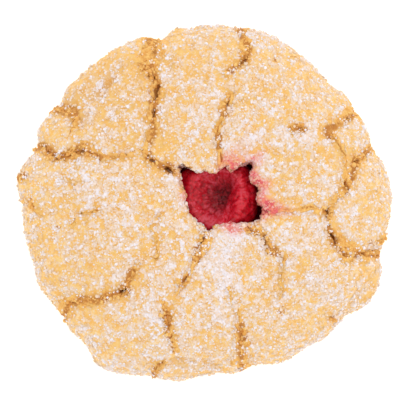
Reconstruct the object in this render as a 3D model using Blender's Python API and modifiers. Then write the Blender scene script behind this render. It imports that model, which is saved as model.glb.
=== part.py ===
"""Raspberry cookie.

A thick, domed sugar cookie that cracked into plates as it baked, with one raspberry sunk into the
opening in its middle, hollow end up. Shapes are worked out in millimetres and put into the meshes
in metres. +Z is up, the flat base rests on Z = 0, and +X is the cookie's longer way across.
"""

import bpy
import numpy as np

MM = 0.001

# Cookie sizes, mm
MEAN_RADIUS = 38.1
HEIGHT = 20.6
EQUATOR = 6.2
DOME_POWER = 2.35
FOOT_INSET = 3.2
FOOT_POWER = 2.1
CENTRE_DIP = 1.2
DIP_SPREAD = 15.0

# The rim's broad lobes and dents: where (degrees), how wide (degrees), how far out (mm)
RIM_LOBES = [
    (4, 13, 1.9), (335, 12, 3.1), (317, 7, 0.3), (304, 7, -1.0), (289, 6, -2.1), (274, 11, -1.9),
    (239, 8, 2.2), (217, 9, -0.1), (197, 9, -0.3), (172, 6, 1.9), (157, 6, 0.3), (90, 8, 0.3),
    (70, 12, 0.8), (38, 4, 0.7), (43, 9, -0.8),
]
RIM_NOTCHES = [(344, 3.0, -1.0), (161, 2.5, -0.7), (145, 2.5, -0.6), (104, 3.5, -1.9), (94, 2.5, -1.0),
               (276, 2.5, -0.3), (19, 2.5, -0.6), (205, 4.0, 0.6), (223, 5.0, 0.7)]

# Berry and its pocket, mm
BERRY_AT = (2.7, 1.1)
BERRY_RADIUS = 8.1
BERRY_FOOT = 4.4
BERRY_TOP = 17.5
BERRY_POWER = 2.7
HOLLOW_AT = (2.4, 0.6)
HOLLOW_FLOOR = 12.0
HOLLOW_REACH = 5.2
HOLLOW_SIDES = [(180, 55, 2.6), (355, 50, -3.0)]
HOLLOW_RIM = 16.2
BERRY_LIP = 6.9
FOLD_PUFF = 0.08
FOLD_AT = (5.6, -1.2)
FOLD_REACH = (1.9, 2.5)
FOLD_RISE = 1.2
DRUPELET_PITCH = 2.4
DRUPELET_HEIGHT = 0.65
POCKET_GAP = 0.62
LIP_ROUNDING = 0.9

# The opening in the crust: its mean radius, and its corners (degrees, degrees wide, mm further out)
OPENING_RADIUS = 5.0
OPENING_CORNERS = [
    (138, 8, 3.4), (148, 20, 2.5), (114, 12, 1.4), (74, 14, 1.0), (44, 8, 6.2), (24, 13, 3.4),
    (7, 10, 3.1), (350, 10, 4.5), (335, 16, 4.5), (310, 14, 1.1), (258, 10, 1.8), (232, 18, 0.7),
    (195, 22, 0.65),
]

# Cracks: each is a run of bends (x, y, width), mm, from the rim inwards or along its course
CRACKS = {
    "north_west": [(-9.3, 38.0, 3.2), (-10.7, 34.0, 3.4), (-11.5, 30.0, 3.4), (-10.3, 26.8, 2.2),
                   (-9.6, 22.5, 1.9), (-11.3, 18.5, 2.0), (-10.2, 15.0, 1.4), (-12.0, 12.2, 0.9),
                   (-11.4, 9.7, 1.6), (-8.4, 8.3, 1.9), (-4.5, 6.6, 2.0)],
    "north": [(7.6, 38.0, 1.0), (8.7, 35.9, 1.3), (9.3, 33.1, 2.0), (7.9, 30.2, 1.7),
              (5.4, 27.8, 1.4), (4.9, 25.0, 0.3), (5.8, 23.1, 1.0), (4.1, 19.7, 1.6),
              (2.4, 16.5, 0.9), (2.3, 14.0, 1.9), (3.5, 10.9, 1.0), (3.5, 8.4, 0.8)],
    "west": [(-39.0, 11.2, 2.0), (-35.1, 12.3, 1.8), (-32.2, 11.4, 1.9), (-30.8, 9.8, 1.2),
             (-28.3, 10.6, 1.6), (-25.1, 11.9, 2.4), (-22.3, 10.3, 2.0), (-20.5, 9.0, 1.0),
             (-17.7, 10.1, 1.3), (-14.0, 10.9, 0.6), (-12.0, 12.1, 1.0)],
    "west_flake": [(-33.0, 20.5, 1.4), (-30.0, 20.6, 1.9), (-27.2, 19.9, 2.4), (-26.6, 17.3, 1.1),
                   (-28.5, 14.6, 0.5)],
    "south_west": [(-30.0, -24.0, 2.4), (-29.5, -21.8, 2.2), (-26.6, -20.4, 2.5), (-22.0, -19.8, 1.7),
                   (-17.2, -18.4, 2.1), (-15.7, -16.4, 1.4), (-14.0, -13.6, 1.5), (-12.6, -11.8, 0.3),
                   (-9.5, -11.3, 0.4), (-9.6, -7.9, 0.5), (-10.6, -4.5, 0.5), (-8.4, -1.9, 0.4)],
    "south": [(1.6, -4.2, 2.0), (-0.1, -7.9, 1.7), (-0.7, -11.0, 1.5), (-2.4, -13.6, 0.9),
              (-4.4, -16.6, 1.8), (-6.1, -19.6, 0.5), (-7.8, -22.1, 1.8), (-7.2, -25.0, 1.8),
              (-5.8, -28.4, 2.3), (-5.6, -31.0, 1.2), (-9.6, -34.0, 0.8), (-10.3, -37.5, 1.8)],
    "south_east": [(9.8, -4.0, 1.5), (13.3, -8.5, 1.2), (16.1, -11.3, 1.1), (16.6, -16.0, 0.3),
                   (16.4, -25.0, 0.3)],
    "south_rim": [(6.8, -21.0, 0.3), (7.6, -24.4, 0.9), (7.9, -27.2, 1.7), (8.3, -30.7, 2.8),
                  (8.6, -34.0, 3.0), (9.3, -38.0, 2.4)],
    "east": [(12.0, -1.6, 1.2), (16.7, -1.1, 0.5), (22.9, -1.3, 0.8), (26.3, -1.5, 1.2),
             (26.9, -5.1, 1.3), (28.9, -7.9, 2.1), (30.9, -10.2, 3.4), (34.3, -10.3, 2.4),
             (40.0, -10.2, 0.9)],
    "east_arc": [(26.3, -1.5, 1.2), (28.3, 0.9, 1.2), (30.3, 3.5, 1.4), (31.7, 6.9, 1.9),
                 (32.9, 9.2, 1.8), (35.4, 11.5, 2.1), (38.5, 14.0, 1.8)],
    "north_east": [(31.7, 6.9, 0.6), (31.0, 10.5, 0.5), (28.6, 13.4, 0.5), (26.1, 15.4, 1.4),
                   (28.6, 17.7, 1.5), (31.5, 19.7, 2.4), (35.5, 22.0, 2.2)],
    "north_east_pit": [(19.3, 15.7, 1.5), (20.9, 15.6, 1.5)],
}

# Ledges: the crust stands this much lower on the rim's side of a run of points (x, y, drop), mm
LEDGES = {
    "south_ledge": [(-9.5, -34.0, 0.0), (-6.0, -32.0, 0.9), (2.0, -32.2, 0.9), (6.5, -31.5, 0.0)],
    "south_east_ledge": [(25.0, -27.0, 0.0), (29.0, -22.5, 0.9), (34.0, -16.0, 0.9), (36.5, -11.5, 0.0)],
    "north_west_ledge": [(-11.5, 32.0, 0.0), (-19.0, 26.0, 0.7), (-26.0, 19.5, 0.8), (-27.5, 16.0, 0.0)],
}

# Plates that puffed up more than their neighbours: middle x and y, reach and lift, mm
PLATE_LIFTS = [(20.0, 6.5, 10.0, 0.6), (-24.0, -4.0, 12.0, 0.3), (2.0, -24.0, 8.0, 0.3),
               (-3.0, 22.0, 9.0, 0.3), (18.0, -22.0, 9.0, 0.2)]

# Mesh fineness
COOKIE_STEPS = 320
TOP_ROWS = 88
COOKIE_TRIANGLES = 7600
BERRY_STEPS = 128
BERRY_TRIANGLES = 3000


def smoothstep(a, b, x):
    """0 below a, 1 above b, and an S-shaped rise between them."""
    t = np.clip((x - a) / (b - a), 0.0, 1.0)
    return t * t * (3.0 - 2.0 * t)


def lobes(angle, table):
    """Sum of bell curves round the circle, one for each (degrees, width in degrees, height)."""
    total = np.zeros_like(angle)
    for centre, width, height in table:
        off = np.angle(np.exp(1j * (angle - np.radians(centre))))
        total += height * np.exp(-(off / np.radians(width)) ** 2)
    return total


def waves(x, y, size, seed):
    """Smooth unevenness, mostly within 1: twelve sine waves of about one size, drawn headings."""
    draw = np.random.default_rng(seed)
    total = np.zeros_like(x)
    for _ in range(12):
        heading, phase = draw.uniform(0.0, 2.0 * np.pi, 2)
        pace = 2.0 * np.pi / (size * draw.uniform(0.7, 1.5))
        total += np.sin((x * np.cos(heading) + y * np.sin(heading)) * pace + phase)
    return total / 4.0


def rim_radius(angle):
    """The rim's distance from the middle: the mean radius with its lobes, dents and notches."""
    return MEAN_RADIUS + lobes(angle, RIM_LOBES) + lobes(angle, RIM_NOTCHES)


def opening_radius(angle):
    """The opening's distance from the berry's axis: a mean radius pulled out at its corners."""
    return OPENING_RADIUS + lobes(angle, OPENING_CORNERS)


def dome_height(x, y):
    """Superellipse dome from the equator to the full height, dipping softly round the berry."""
    angle = np.arctan2(y, x)
    reach = np.clip(np.hypot(x, y) / rim_radius(angle), 0.0, 1.0)
    dome = EQUATOR + (HEIGHT - EQUATOR) * (1.0 - reach ** DOME_POWER) ** (1.0 / DOME_POWER)
    near = np.hypot(x - BERRY_AT[0], y - BERRY_AT[1]) / DIP_SPREAD
    return dome - CENTRE_DIP * np.exp(-near ** 2)


def nearest_on_run(x, y, run):
    """Distance to a run of points, the third value there, and the side (+1 is left of its way)."""
    best = np.full_like(x, 1e9)
    value = np.zeros_like(x)
    side = np.ones_like(x)
    for (ax, ay, av), (bx, by, bv) in zip(run[:-1], run[1:]):
        dx, dy = bx - ax, by - ay
        along = np.clip(((x - ax) * dx + (y - ay) * dy) / (dx * dx + dy * dy), 0.0, 1.0)
        off_x, off_y = x - ax - along * dx, y - ay - along * dy
        distance = np.hypot(off_x, off_y)
        closer = distance < best
        best = np.where(closer, distance, best)
        value = np.where(closer, av + along * (bv - av), value)
        side = np.where(closer, np.sign(dx * off_y - dy * off_x), side)
    return best, value, side


def crack_depth(x, y):
    """How far the crust lies below its dome: a V-shaped groove along each crack, up to about
    2.3 mm deep and closed where the crack is a hair, and plates that round off over the last 2 mm
    before it."""
    wander_x = x + 0.35 * waves(x, y, 5.0, 11)
    wander_y = y + 0.35 * waves(x, y, 5.0, 12)
    groove = np.zeros_like(x)
    pillow = np.zeros_like(x)
    for run in CRACKS.values():
        distance, width, _ = nearest_on_run(wander_x, wander_y, run)
        deep = 2.3 * (1.0 - np.exp(-width / 1.2)) * smoothstep(0.3, 0.9, width)
        half = 0.50 * width + 0.25
        groove = np.maximum(groove, deep * (1.0 - smoothstep(0.0, 1.0, distance / half)))
        pillow = np.maximum(pillow, 0.22 * deep * np.exp(-(distance / 1.9) ** 2))
    return np.maximum(groove, pillow)


def ledge_drop(x, y):
    """Each ledge lowers the crust on its rim side, full just outside the run, gone 5 mm on."""
    total = np.zeros_like(x)
    for run in LEDGES.values():
        distance, drop, side = nearest_on_run(x, y, run)
        outward = np.hypot(x, y) - np.hypot(*np.mean([p[:2] for p in run], axis=0))
        beyond = np.where(outward > -3.0, 1.0, 0.0) * np.where(side < 0, 1.0, 0.0)
        total += drop * beyond * smoothstep(0.0, 1.4, distance) * (1.0 - smoothstep(2.0, 6.0, distance))
    return total


def plate_lift(x, y):
    """Sum of broad bell-shaped swellings, one in the middle of each plate that puffed up."""
    total = np.zeros_like(x)
    for mx, my, reach, lift in PLATE_LIFTS:
        total += lift * np.exp(-((x - mx) ** 2 + (y - my) ** 2) / reach ** 2)
    return total


def drum(name, rows, steps):
    """A turned drum with one row of points for each row of the shape, its two ends on the axis.
    The profile runs from the inside's lowest point over the top and down the outside."""
    profile = bpy.data.meshes.new(name + "_profile")
    heights = [(rows - 1 - k) * MM for k in range(rows)]
    points = [(0.0 if k in (0, rows - 1) else 0.03, 0.0, heights[k]) for k in range(rows)]
    profile.from_pydata(points, [(k, k + 1) for k in range(rows - 1)], [])
    turned = bpy.data.objects.new(name + "_turned", profile)
    bpy.context.scene.collection.objects.link(turned)
    screw = turned.modifiers.new("Screw", "SCREW")
    screw.steps = steps
    screw.render_steps = steps
    screw.use_merge_vertices = True
    screw.merge_threshold = 0.00005
    graph = bpy.context.evaluated_depsgraph_get()
    mesh = bpy.data.meshes.new_from_object(turned.evaluated_get(graph))
    bpy.data.objects.remove(turned)
    bpy.data.meshes.remove(profile)
    mesh.name = name
    coordinates = np.empty(len(mesh.vertices) * 3)
    mesh.vertices.foreach_get("co", coordinates)
    coordinates = coordinates.reshape(-1, 3)
    row = np.rint(rows - 1 - coordinates[:, 2] / MM).astype(int)
    angle = np.arctan2(coordinates[:, 1], coordinates[:, 0])
    return mesh, row, angle


def set_points(mesh, points):
    """Puts points in millimetres into the mesh in metres."""
    mesh.vertices.foreach_set("co", (points * MM).ravel())
    mesh.update()


def normals_of(mesh):
    """The mesh's vertex normals as an array."""
    normals = np.empty(len(mesh.vertices) * 3)
    mesh.vertex_normals.foreach_get("vector", normals)
    return normals.reshape(-1, 3)


def finish(mesh, name, material, triangles, collection):
    """Makes the object, thins its mesh to the wanted number of triangles and shades it smooth."""
    thing = bpy.data.objects.new(name, mesh)
    collection.objects.link(thing)
    mesh.materials.append(material)
    whole = sum(len(face.vertices) - 2 for face in mesh.polygons)
    thin = thing.modifiers.new("Thin", "DECIMATE")
    thin.decimate_type = "COLLAPSE"
    thin.ratio = triangles / whole
    mesh.shade_smooth()
    return thing


def material(name, colour, roughness):
    """A plain non-metal material of one colour."""
    made = bpy.data.materials.new(name)
    made.use_nodes = True
    shader = made.node_tree.nodes["Principled BSDF"]
    shader.inputs["Base Color"].default_value = (*colour, 1.0)
    shader.inputs["Roughness"].default_value = roughness
    shader.inputs["Metallic"].default_value = 0.0
    return made


def cookie_section():
    """The rows of the cookie's skin, from the pocket's lowest point to the middle of the base.

    Each row is (zone, share): pocket 0 to 1 runs from the floor up to under the lip, lip 0 to 1
    rounds over its edge, top 0 to 1 goes out to the rim, side 0 to 1 goes down to the foot, and
    base 0 to 1 goes in to the middle."""
    pocket = [("pocket", s) for s in np.linspace(0.0, 1.0, 15)]
    lip = [("lip", s) for s in np.linspace(0.0, 1.0, 6)[1:]]
    top = [("top", s) for s in np.linspace(0.0, 1.0, TOP_ROWS)[1:]]
    side = [("side", s) for s in np.linspace(0.0, 1.0, 10)[1:]]
    base = [("base", s) for s in np.linspace(0.0, 1.0, 8)[1:]]
    return pocket + lip + top + side + base


def pocket_profile(share, reach):
    """Radius and height along the pocket: the berry's own superellipse, a gap larger, from the
    floor's middle at share 0 to just under the opening's edge at share 1."""
    middle = 0.5 * (BERRY_FOOT + BERRY_TOP)
    half = 0.5 * (BERRY_TOP - BERRY_FOOT) + DRUPELET_HEIGHT + POCKET_GAP
    full = np.maximum(BERRY_RADIUS + DRUPELET_HEIGHT + POCKET_GAP, reach * 1.04)
    last = np.arccos(np.clip(reach / full, 0.0, 0.985) ** (BERRY_POWER / 2.0))
    turn = -0.5 * np.pi + share * (0.5 * np.pi + last)
    radius = full * np.abs(np.cos(turn)) ** (2.0 / BERRY_POWER)
    height = middle + half * np.sign(np.sin(turn)) * np.abs(np.sin(turn)) ** (2.0 / BERRY_POWER)
    return radius, height


def cookie_points(row, angle):
    """Every point of the cookie's skin before its cracks, from its row and its angle."""
    section = cookie_section()
    zone = np.array([z for z, _ in section])[row]
    share = np.array([s for _, s in section])[row]
    cos, sin = np.cos(angle), np.sin(angle)
    reach = opening_radius(angle)
    rim = rim_radius(angle)
    edge_x, edge_y = BERRY_AT[0] + reach * cos, BERRY_AT[1] + reach * sin
    lip_top = dome_height(edge_x, edge_y)

    radius, height = pocket_profile(share, reach)
    pocket = np.stack([BERRY_AT[0] + radius * cos, BERRY_AT[1] + radius * sin, height], axis=1)

    last_radius, last_height = pocket_profile(np.ones_like(angle), reach)
    bend = np.sin(share * np.pi) * LIP_ROUNDING
    lip_radius = last_radius + (reach - last_radius) * share - bend * 0.4
    lip_height = last_height + (lip_top - last_height) * smoothstep(0.0, 1.0, share)
    lip = np.stack([BERRY_AT[0] + lip_radius * cos, BERRY_AT[1] + lip_radius * sin, lip_height], axis=1)

    out = np.sin(share * 0.5 * np.pi) ** 0.9
    out = 0.35 * share + 0.65 * out
    top_x = edge_x + (rim * cos - edge_x) * out
    top_y = edge_y + (rim * sin - edge_y) * out
    top = np.stack([top_x, top_y, dome_height(top_x, top_y)], axis=1)

    turn = share * 0.5 * np.pi
    side_radius = rim - FOOT_INSET * (1.0 - np.abs(np.cos(turn)) ** (2.0 / FOOT_POWER))
    side_height = EQUATOR * (1.0 - np.abs(np.sin(turn)) ** (2.0 / FOOT_POWER))
    side = np.stack([side_radius * cos, side_radius * sin, side_height], axis=1)

    base_radius = (rim - FOOT_INSET) * (1.0 - share)
    base = np.stack([base_radius * cos, base_radius * sin, np.zeros_like(angle)], axis=1)

    points = np.zeros((len(row), 3))
    for name, part in (("pocket", pocket), ("lip", lip), ("top", top), ("side", side), ("base", base)):
        points[zone == name] = part[zone == name]
    return points, zone, share


def build_cookie(collection):
    """The cookie: a turned drum shaped row by row, then cracked and thinned."""
    mesh, row, angle = drum("cookie", len(cookie_section()), COOKIE_STEPS)
    points, zone, share = cookie_points(row, angle)
    set_points(mesh, points)
    normals = normals_of(mesh)
    x, y, z = points.T
    shown = np.where(zone == "top", 1.0, 0.0)
    shown += np.where(zone == "side", smoothstep(0.8, 4.5, z), 0.0)
    shown += np.where(zone == "lip", smoothstep(0.2, 1.0, share), 0.0)
    uneven = 0.22 * waves(x, y, 14.0, 21) + 0.10 * waves(x, y, 6.0, 22) + plate_lift(x, y)
    depth = crack_depth(x, y) + ledge_drop(x, y) - uneven
    set_points(mesh, points - normals * (shown * depth)[:, None])
    crumb = material("baked_dough", (0.80, 0.53, 0.27), 0.75)
    return finish(mesh, "cookie", crumb, COOKIE_TRIANGLES, collection)


def berry_section():
    """Rows of the berry's skin, from the hollow's floor over the rim to the closed tip below."""
    hollow = [("hollow", s) for s in np.linspace(0.0, 1.0, 14)]
    crown = [("crown", s) for s in np.linspace(0.0, 1.0, 11)[1:]]
    body = [("body", s) for s in np.linspace(0.0, 1.0, 48)[1:]]
    return hollow + crown + body


def berry_points(row, angle):
    """Every point of the berry before its drupelets. The hollow is a funnel that reaches a short way
    on the right, where the berry folds into a fat lobe. The crown puffs up between the hollow's rim
    and the shoulder by its own width, and the body is a superellipse down to the tip."""
    section = berry_section()
    zone = np.array([z for z, _ in section])[row]
    share = np.array([s for _, s in section])[row]
    cos, sin = np.cos(angle), np.sin(angle)
    middle = 0.5 * (BERRY_FOOT + BERRY_TOP)
    half = 0.5 * (BERRY_TOP - BERRY_FOOT)
    reach = HOLLOW_REACH + lobes(angle, HOLLOW_SIDES)
    rim_x, rim_y = HOLLOW_AT[0] + reach * cos, HOLLOW_AT[1] + reach * sin

    hollow_x = HOLLOW_AT[0] + (rim_x - HOLLOW_AT[0]) * share
    hollow_y = HOLLOW_AT[1] + (rim_y - HOLLOW_AT[1]) * share
    hollow_height = HOLLOW_FLOOR + (HOLLOW_RIM - HOLLOW_FLOOR) * share ** 1.25
    hollow = np.stack([hollow_x, hollow_y, hollow_height], axis=1)

    first = np.arccos((BERRY_LIP / BERRY_RADIUS) ** (BERRY_POWER / 2.0))
    lip_height = middle + half * np.sin(first) ** (2.0 / BERRY_POWER)
    wide_x, wide_y = BERRY_LIP * cos - rim_x, BERRY_LIP * sin - rim_y
    puff = FOLD_PUFF * (wide_x ** 2 + wide_y ** 2)
    crown_height = HOLLOW_RIM + (lip_height - HOLLOW_RIM) * share + puff * np.sin(np.pi * share)
    crown = np.stack([rim_x + wide_x * share, rim_y + wide_y * share, crown_height], axis=1)

    fall = first - share * (first + 0.5 * np.pi)
    body_radius = BERRY_RADIUS * np.abs(np.cos(fall)) ** (2.0 / BERRY_POWER)
    body_height = middle + half * np.sign(np.sin(fall)) * np.abs(np.sin(fall)) ** (2.0 / BERRY_POWER)
    body = np.stack([body_radius * cos, body_radius * sin, body_height], axis=1)

    points = np.zeros((len(row), 3))
    for name, part in (("hollow", hollow), ("crown", crown), ("body", body)):
        points[zone == name] = part[zone == name]
    return points, zone


def drupelet_centres():
    """Middles of the drupelets: rings down the berry, one pitch apart along its skin, each ring
    shifted by half a pitch from the last, with a small seeded scatter."""
    draw = np.random.default_rng(7)
    middle = 0.5 * (BERRY_FOOT + BERRY_TOP)
    half = 0.5 * (BERRY_TOP - BERRY_FOOT)
    fall = np.linspace(0.5 * np.pi, -0.5 * np.pi, 400)
    radius = BERRY_RADIUS * np.abs(np.cos(fall)) ** (2.0 / BERRY_POWER)
    height = middle + half * np.sign(np.sin(fall)) * np.abs(np.sin(fall)) ** (2.0 / BERRY_POWER)
    walked = np.concatenate([[0.0], np.cumsum(np.hypot(np.diff(radius), np.diff(height)))])
    centres = []
    for ring, at in enumerate(np.arange(3.9, walked[-1], 0.88 * DRUPELET_PITCH)):
        r, z = np.interp(at, walked, radius), np.interp(at, walked, height)
        count = max(1, int(round(2.0 * np.pi * r / DRUPELET_PITCH)))
        turn = 2.0 * np.pi * (np.arange(count) + 0.5 * (ring % 2)) / count
        turn += draw.uniform(-0.12, 0.12, count) * DRUPELET_PITCH / max(r, 1.0)
        centres.append(np.stack([r * np.cos(turn), r * np.sin(turn), np.full(count, z)], axis=1))
    return np.concatenate(centres)


def build_berry(collection):
    """The raspberry: a turned drum shaped into a thimble, with a round bump for each drupelet."""
    mesh, row, angle = drum("raspberry", len(berry_section()), BERRY_STEPS)
    points, zone = berry_points(row, angle)
    set_points(mesh, points)
    normals = normals_of(mesh)
    centres = drupelet_centres()
    gaps = np.linalg.norm(points[:, None, :] - centres[None, :, :], axis=2).min(axis=1)
    bump = np.sqrt(np.clip(1.0 - (gaps / (0.58 * DRUPELET_PITCH)) ** 2, 0.0, 1.0))
    bump = np.where(zone == "hollow", 0.0, DRUPELET_HEIGHT) * bump
    from_fold = np.sum(((points[:, :2] - FOLD_AT) / FOLD_REACH) ** 2, axis=1)
    fold = FOLD_RISE * np.exp(-1.3 * from_fold) * (points[:, 2] > 0.5 * (BERRY_FOOT + BERRY_TOP))
    shaped = points + normals * (bump + fold)[:, None]
    shaped[:, :2] += np.array(BERRY_AT)
    set_points(mesh, shaped)
    flesh = material("raspberry_flesh", (0.42, 0.03, 0.05), 0.45)
    return finish(mesh, "raspberry", flesh, BERRY_TRIANGLES, collection)


def centre_and_rest(thing):
    """Shifts a mesh so the middle of its box stands over the origin with its base on Z = 0."""
    graph = bpy.context.evaluated_depsgraph_get()
    box = np.array([v.co[:] for v in thing.evaluated_get(graph).data.vertices])
    low, high = box.min(axis=0), box.max(axis=0)
    return np.array([-(low[0] + high[0]) / 2.0, -(low[1] + high[1]) / 2.0, -low[2]])


def main():
    """Clears the scene and builds the cookie and its berry in one collection."""
    for old in list(bpy.data.objects):
        bpy.data.objects.remove(old, do_unlink=True)
    collection = bpy.data.collections.new("raspberry_cookie")
    bpy.context.scene.collection.children.link(collection)
    cookie = build_cookie(collection)
    berry = build_berry(collection)
    shift = centre_and_rest(cookie)
    for thing in (cookie, berry):
        thing.location = shift


main()
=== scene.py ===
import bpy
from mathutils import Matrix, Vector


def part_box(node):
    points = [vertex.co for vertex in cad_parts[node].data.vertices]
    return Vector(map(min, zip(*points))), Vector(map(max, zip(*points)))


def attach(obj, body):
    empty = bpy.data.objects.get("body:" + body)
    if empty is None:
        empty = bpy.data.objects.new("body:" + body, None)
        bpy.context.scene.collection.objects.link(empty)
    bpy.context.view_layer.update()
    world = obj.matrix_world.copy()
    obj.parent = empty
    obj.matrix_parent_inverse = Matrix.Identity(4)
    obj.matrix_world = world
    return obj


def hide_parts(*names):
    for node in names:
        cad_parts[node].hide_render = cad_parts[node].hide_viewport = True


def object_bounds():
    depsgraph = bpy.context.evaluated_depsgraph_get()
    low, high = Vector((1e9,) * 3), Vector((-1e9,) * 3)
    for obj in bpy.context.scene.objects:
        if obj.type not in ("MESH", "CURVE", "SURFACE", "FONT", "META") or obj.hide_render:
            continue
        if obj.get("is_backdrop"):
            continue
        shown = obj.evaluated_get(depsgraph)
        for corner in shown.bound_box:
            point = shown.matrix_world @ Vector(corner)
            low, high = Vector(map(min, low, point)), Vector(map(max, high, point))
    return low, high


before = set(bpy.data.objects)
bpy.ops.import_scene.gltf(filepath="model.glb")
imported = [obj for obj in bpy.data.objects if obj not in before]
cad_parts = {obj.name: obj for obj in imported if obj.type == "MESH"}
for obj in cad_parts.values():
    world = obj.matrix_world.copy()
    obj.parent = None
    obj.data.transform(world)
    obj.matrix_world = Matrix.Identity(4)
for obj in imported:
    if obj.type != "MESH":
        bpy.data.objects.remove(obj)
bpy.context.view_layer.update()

# %% [markdown]
# # A raspberry cookie
# A thick sugar cookie seen from straight above. It puffed into a dome in the oven, its crust broke
# into plates, and a raspberry sits in the opening in the middle, hollow end up. Granulated sugar
# covers the plates and leaves the torn crumb in the cracks bare. The crust, the berry, the crumbs
# and the sugar are all surfaces worked out with numpy, in millimetres, and put into meshes in
# metres, because every one of them is a formula with roughness added.

import bpy
import numpy as np
from mathutils import Vector

MM = 0.001


def smoothstep(a, b, x):
    """0 below a, 1 above b, and an S-shaped rise, 3t^2 - 2t^3, between them."""
    t = np.clip((x - a) / (b - a), 0.0, 1.0)
    return t * t * (3.0 - 2.0 * t)


def mix(a, b, t):
    """The straight blend from a at t = 0 to b at t = 1."""
    return a + (b - a) * t


def bell(off, width):
    """A bell curve, exp(-(off / width)^2): 1 where off is 0, about a third one width away."""
    return np.exp(-(off / width) ** 2)


def points_at(x, y, z):
    """Points from their x, y and z, each spread to the shape of all three."""
    return np.stack(np.broadcast_arrays(x, y, z), axis=-1)


# %% [markdown]
# ## Roughness that has no seam
# Baked crumb is uneven at every size, from broad swellings to grains. A noise that depends only on
# where a point lies in space closes on itself round the cookie, so no seam shows where the grid's
# first and last columns meet.

# %% Space noise
def lattice_number(ix, iy, iz, seed):
    """One fixed number from -1 to 1 for each corner of a cubic lattice: its whole-number place is
    multiplied by large odd numbers, folded to 32 bits and stirred twice."""
    h = (ix * 374761393 + iy * 668265263 + iz * 1442695041 + seed * 1013904223) & 0xFFFFFFFF
    h = ((h ^ (h >> 15)) * 1274126177) & 0xFFFFFFFF
    h = ((h ^ (h >> 13)) * 1103515245) & 0xFFFFFFFF
    return ((h ^ (h >> 16)) & 0xFFFFFF) / 8388607.5 - 1.0


def rough(points, size, seed):
    """Smooth noise: the eight lattice corners round a point, `size` mm apart, blended by S-curves
    along each axis."""
    place = points / size + 0.371 * seed
    whole = np.floor(place).astype(np.int64)
    part = place - whole
    part = part * part * (3.0 - 2.0 * part)
    total = np.zeros(points.shape[:-1])
    for corner in range(8):
        step = np.array([corner & 1, (corner >> 1) & 1, (corner >> 2) & 1])
        weight = np.prod(np.where(step == 1, part, 1.0 - part), axis=-1)
        ix, iy, iz = np.moveaxis(whole + step, -1, 0)
        total += weight * lattice_number(ix, iy, iz, seed)
    return total


def layered(points, size, seed, layers=3):
    """Noise on noise: each layer is half the size of the last and 0.6 of its strength."""
    total, weight, strength = 0.0, 0.0, 1.0
    for layer in range(layers):
        total = total + strength * rough(points, size / 2 ** layer, seed + layer)
        weight += strength
        strength *= 0.6
    return total / weight


def lumpy(points, size, seed):
    """Rounded lumps with creases between them: 1 in a lump's middle, less by the squared distance, in
    sizes, to the nearest of the points that are jittered one to each cell of a lattice."""
    place = points / size + 0.371 * seed
    whole = np.floor(place).astype(np.int64)
    nearest = np.full(points.shape[:-1], 9.0)
    for corner in range(27):
        cell = whole + np.array([corner % 3 - 1, corner // 3 % 3 - 1, corner // 9 - 1])
        ix, iy, iz = np.moveaxis(cell, -1, 0)
        jitter = np.stack([lattice_number(ix, iy, iz, seed + k) for k in range(3)], axis=-1)
        nearest = np.minimum(nearest, np.sum((cell + 0.5 + 0.45 * jitter - place) ** 2, axis=-1))
    return 1.0 - nearest


probe = rough(np.random.default_rng(1).uniform(-40, 40, (20000, 3)), 3.0, 5)
print(f"noise runs from {probe.min():.2f} to {probe.max():.2f}, mean {probe.mean():.3f}")

# %% [markdown]
# ## The cookie's plan
# Seen from above the cookie is nearly round. Its rim swells where a plate spread on the tray and
# dips where a crack reaches the edge, so the outline is a mean radius plus bell curves round the
# circle. The opening over the berry is drawn the same way, with its corners as narrow bells. From the
# side it is a superellipse: a dome above its widest height, and a tight round foot below it.

# %% Plan sizes, mm
MEAN_RADIUS = 38.1
HEIGHT = 20.6
EQUATOR = 6.2
DOME_POWER = 2.35
FOOT_INSET = 3.2
FOOT_POWER = 2.1
CENTRE_DIP = 1.2
DIP_SPREAD = 15.0
# Where (degrees), how wide (degrees), how far out (mm)
RIM_LOBES = [
    (4, 13, 1.9), (335, 12, 3.1), (317, 7, 0.3), (304, 7, -1), (289, 6, -2.1), (274, 11, -1.9),
    (239, 8, 2.2), (217, 9, -0.1), (197, 9, -0.3), (172, 6, 1.9), (157, 6, 0.3), (90, 8, 0.3),
    (70, 12, 0.8), (38, 4, 0.7), (43, 9, -0.8), (330, 8, 0.6),
]
RIM_NOTCHES = [
    (344, 3, -1), (161, 2.5, -0.7), (145, 2.5, -0.6), (104, 3.5, -1.9), (94, 2.5, -1), (276, 2.5, -0.3),
    (19, 2.5, -0.6), (205, 4, 0.6), (223, 5, 0.7),
]
BERRY_AT = (2.7, 1.1)
OPENING_RADIUS = 5.62
OPENING_CORNERS = [
    (137, 9, 3), (147, 19, 2.2), (114, 11, 1), (72, 11, 1.2), (45, 10, 5.5), (21, 17, 3.4), (7, 11, 2.5),
    (350, 10, 2.5), (335, 16, 4.5), (310, 14, 1.1), (258, 10, 1.8), (232, 18, 0.7), (195, 22, 0.65),
]


def lobes(angle, table):
    """Sum of bell curves round the circle, one for each (degrees, width in degrees, height)."""
    total = np.zeros_like(angle)
    for centre, width, height in table:
        off = np.angle(np.exp(1j * (angle - np.radians(centre))))
        total += height * bell(off, np.radians(width))
    return total


def rim_radius(angle):
    """Mean radius plus the rim's lobes and notches."""
    return MEAN_RADIUS + lobes(angle, RIM_LOBES) + lobes(angle, RIM_NOTCHES)


def opening_radius(angle):
    """The opening's mean radius plus its corners."""
    return OPENING_RADIUS + lobes(angle, OPENING_CORNERS)


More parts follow.
